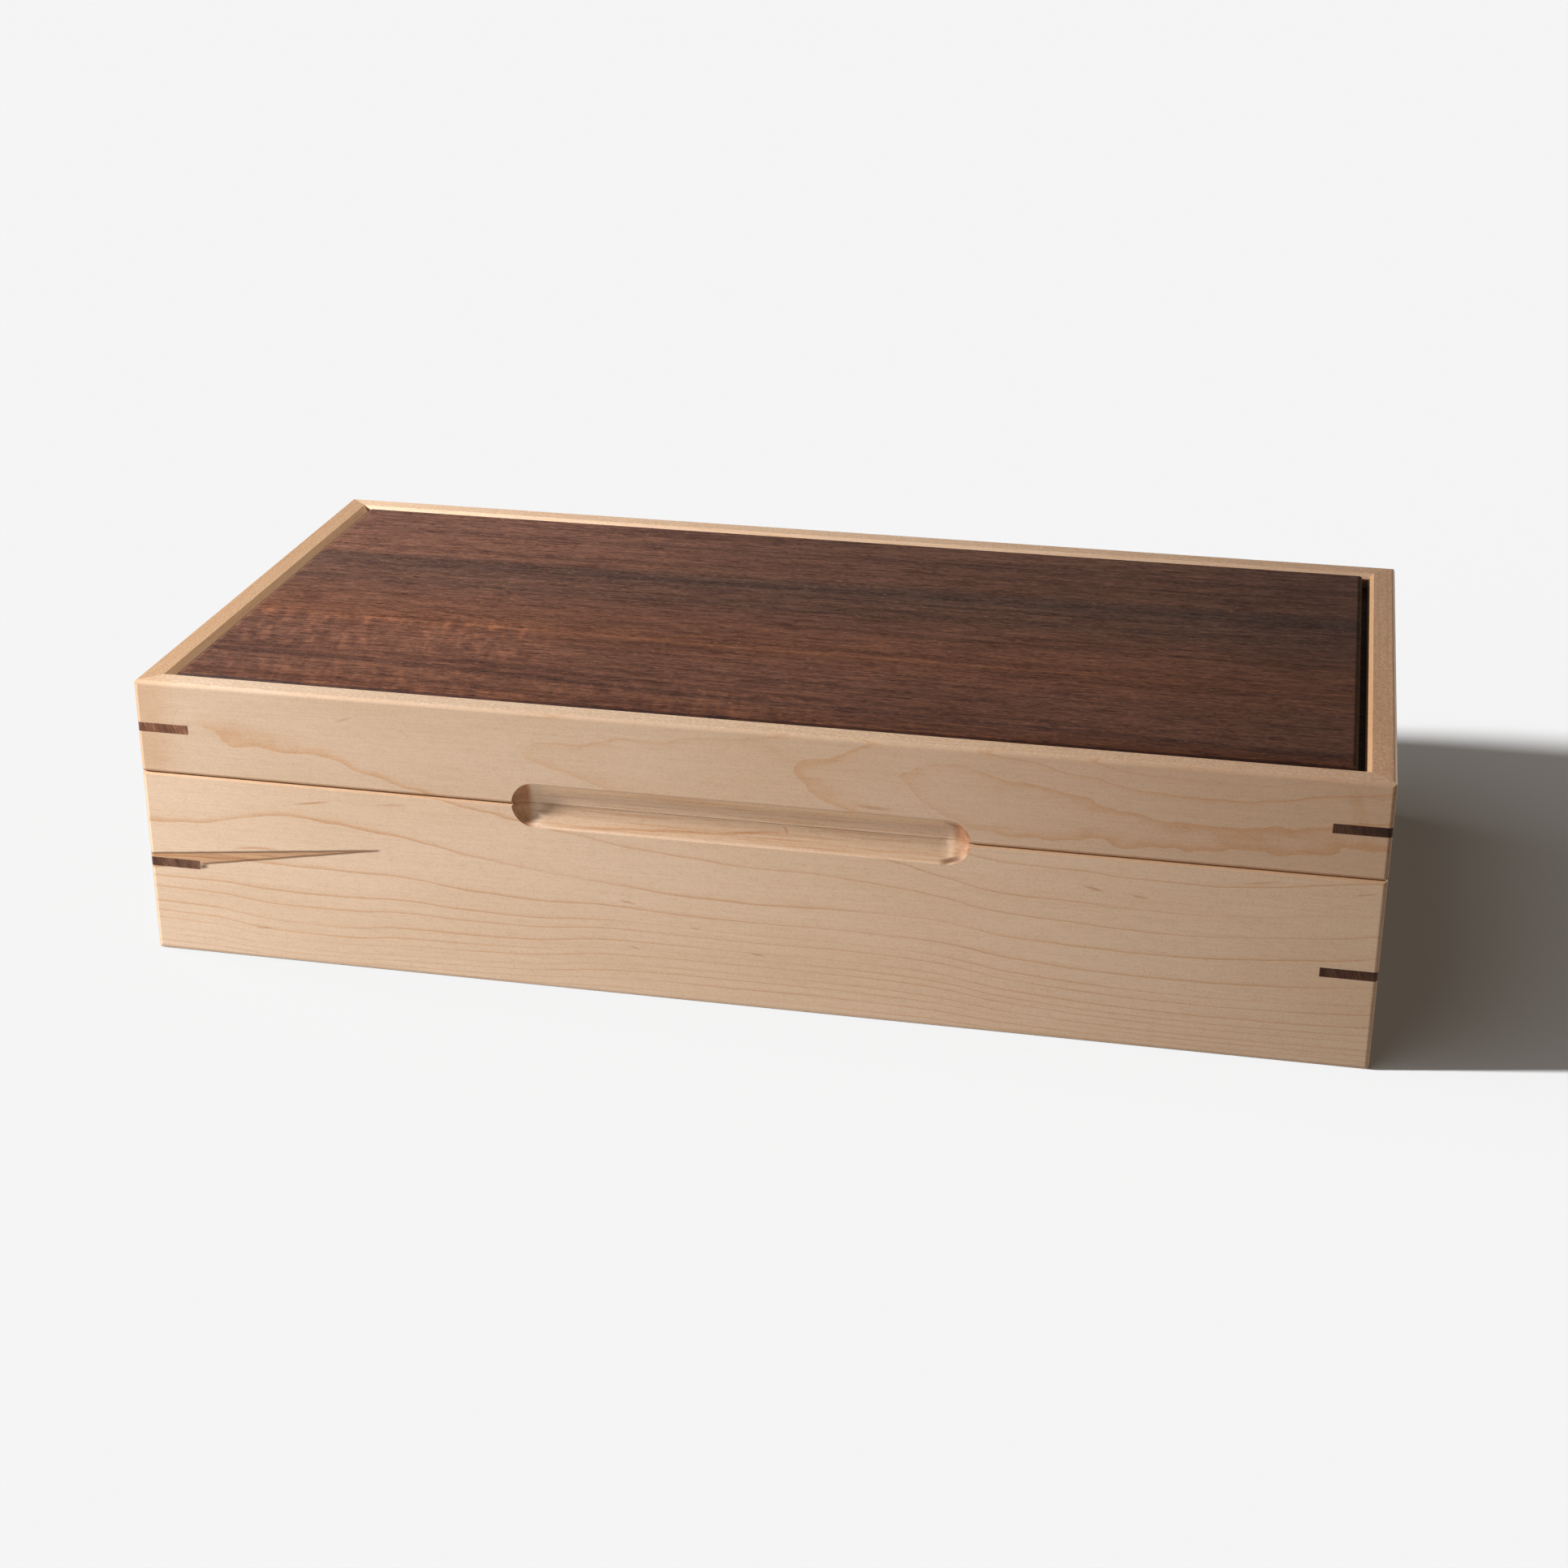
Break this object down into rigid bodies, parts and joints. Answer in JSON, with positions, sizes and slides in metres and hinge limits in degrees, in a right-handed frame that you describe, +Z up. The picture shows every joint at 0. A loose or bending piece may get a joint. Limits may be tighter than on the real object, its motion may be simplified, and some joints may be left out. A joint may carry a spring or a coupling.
{
  "type": "hinged keepsake box",
  "caption": "Low rectangular wooden box with mitred pale walls, dark corner splines, a framed dark lid panel, a routed finger pull and a lid that hinges open at the back.",
  "frame": {"origin": "centre of the underside of the bounding box, on the surface the box stands on; the bounding box takes in the hinge knuckles, so the wooden walls sit 1.5 mm towards the front", "axes": "+X to the right along the width, +Y to the back where the hinges are, +Z up"},
  "size_m": [0.305, 0.158, 0.0736],
  "materials": {
    "frame_maple": "pale maple, oiled satin, fine growth lines",
    "panel_walnut": "figured walnut, oiled satin, fine open pores",
    "spline_walnut": "walnut, oiled satin, sanded flush",
    "floor_wood": "pale plywood face, thin oil",
    "lining_felt": "matted wool felt, matte",
    "hinge_brass": "brushed brass, satin"
  },
  "bodies": {
    "base": {"base_front_wall": "frame_maple", "base_right_wall": "frame_maple", "base_back_wall": "frame_maple", "base_left_wall": "frame_maple", "base_floor_panel": "floor_wood", "base_spline_front_left": "spline_walnut", "base_spline_front_right": "spline_walnut", "base_spline_back_right": "spline_walnut", "base_spline_back_left": "spline_walnut", "base_lining": "lining_felt", "hinge_left_base_leaf": "hinge_brass", "hinge_right_base_leaf": "hinge_brass", "hinge_left_pin": "hinge_brass", "hinge_right_pin": "hinge_brass", "base_leaf_screws": "hinge_brass"},
    "lid": {"lid_front_rail": "frame_maple", "lid_right_rail": "frame_maple", "lid_back_rail": "frame_maple", "lid_left_rail": "frame_maple", "lid_panel": "panel_walnut", "lid_spline_front_left": "spline_walnut", "lid_spline_front_right": "spline_walnut", "lid_spline_back_right": "spline_walnut", "lid_spline_back_left": "spline_walnut", "hinge_left_lid_leaf": "hinge_brass", "hinge_right_lid_leaf": "hinge_brass", "lid_leaf_screws": "hinge_brass"}
  },
  "joints": [
    {"name": "lid_hinge", "type": "hinge", "parent": "base", "child": "lid", "pos_m": [0, 0.0766, 0.0493], "axis": [-1, 0, 0], "range_deg": [0, 95]}
  ]
}
